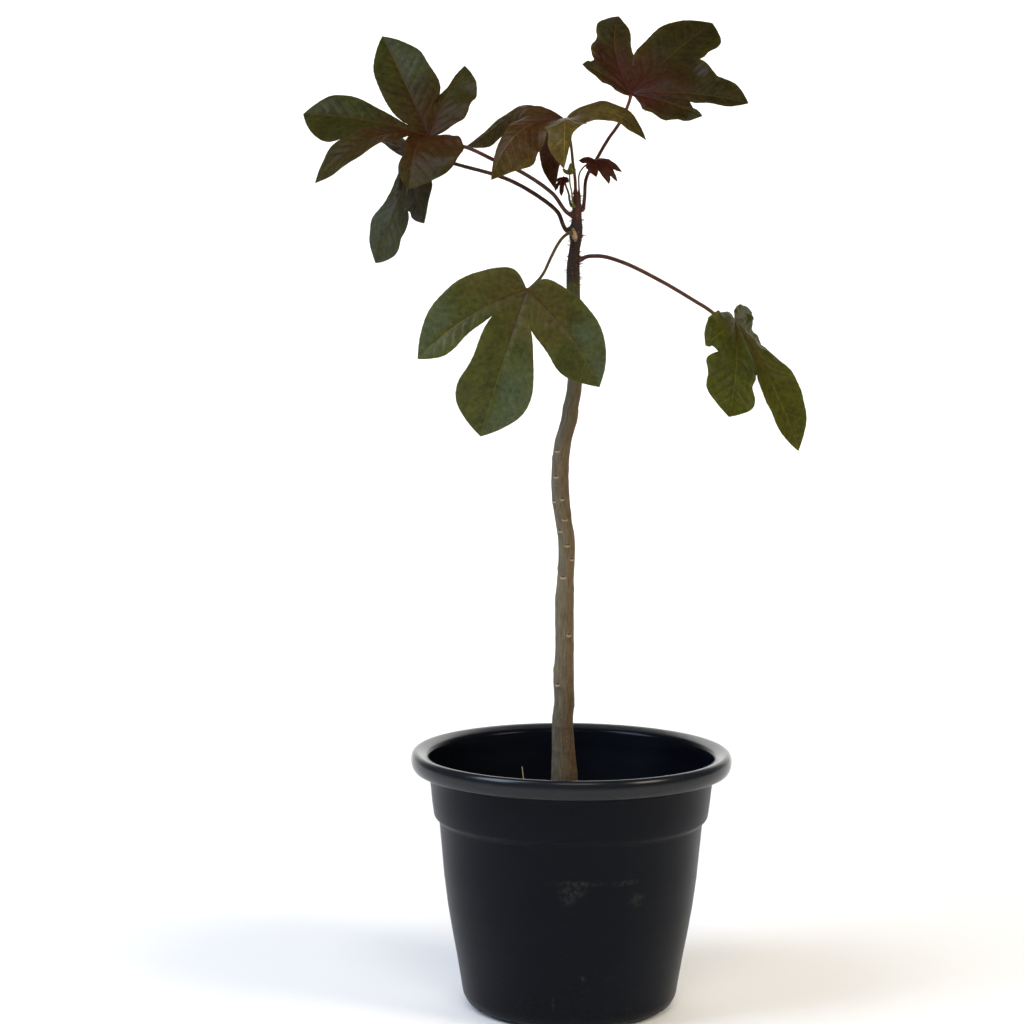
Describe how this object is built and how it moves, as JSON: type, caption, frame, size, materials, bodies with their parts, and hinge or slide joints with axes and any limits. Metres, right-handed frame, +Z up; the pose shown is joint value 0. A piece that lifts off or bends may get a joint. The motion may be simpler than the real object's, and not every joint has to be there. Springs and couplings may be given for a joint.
{
  "type": "potted jatropha",
  "caption": "Young jatropha shrub in a round black nursery pot: bare woody stem, long-stalked leaves with palm-like lobes and small red young leaves at the tip.",
  "frame": {"origin": "on the axis of the pot, in the plane the pot stands on", "axes": "+Z up along the pot's axis, -Y towards the viewer of the picture, +X to the viewer's right"},
  "size_m": [0.3862, 0.25, 0.7703],
  "materials": {
    "black_plastic": "semi-gloss, lightly scuffed",
    "potting_soil": "loose, rough",
    "stem_bark": "matt, finely furrowed",
    "front_leaf_stalk_green": "satin",
    "front_leaf_blade_green": "soft sheen",
    "upper_left_leaf_stalk_green": "satin",
    "upper_left_leaf_blade_green": "soft sheen",
    "lower_left_leaf_stalk_green": "satin",
    "lower_left_leaf_blade_green": "soft sheen",
    "top_centre_leaf_stalk_green": "satin",
    "top_centre_leaf_blade_green": "soft sheen",
    "top_right_leaf_stalk_green": "satin",
    "top_right_leaf_blade_green": "soft sheen",
    "right_leaf_stalk_green": "satin",
    "right_leaf_blade_green": "soft sheen",
    "young_red_leaf_stalk_green": "satin",
    "young_red_leaf_blade_green": "soft sheen",
    "young_dark_leaf_stalk_green": "satin",
    "young_dark_leaf_blade_green": "soft sheen",
    "young_green_leaf_stalk_green": "satin",
    "young_green_leaf_blade_green": "soft sheen"
  },
  "bodies": {
    "root": {"pot": "black_plastic", "soil": "potting_soil", "trunk": "stem_bark", "front_leaf_stalk": "front_leaf_stalk_green", "front_leaf_blade": "front_leaf_blade_green", "upper_left_leaf_stalk": "upper_left_leaf_stalk_green", "upper_left_leaf_blade": "upper_left_leaf_blade_green", "lower_left_leaf_stalk": "lower_left_leaf_stalk_green", "lower_left_leaf_blade": "lower_left_leaf_blade_green", "top_centre_leaf_stalk": "top_centre_leaf_stalk_green", "top_centre_leaf_blade": "top_centre_leaf_blade_green", "top_right_leaf_stalk": "top_right_leaf_stalk_green", "top_right_leaf_blade": "top_right_leaf_blade_green", "right_leaf_stalk": "right_leaf_stalk_green", "right_leaf_blade": "right_leaf_blade_green", "young_red_leaf_stalk": "young_red_leaf_stalk_green", "young_red_leaf_blade": "young_red_leaf_blade_green", "young_dark_leaf_stalk": "young_dark_leaf_stalk_green", "young_dark_leaf_blade": "young_dark_leaf_blade_green", "young_green_leaf_stalk": "young_green_leaf_stalk_green", "young_green_leaf_blade": "young_green_leaf_blade_green"}
  },
  "joints": []
}
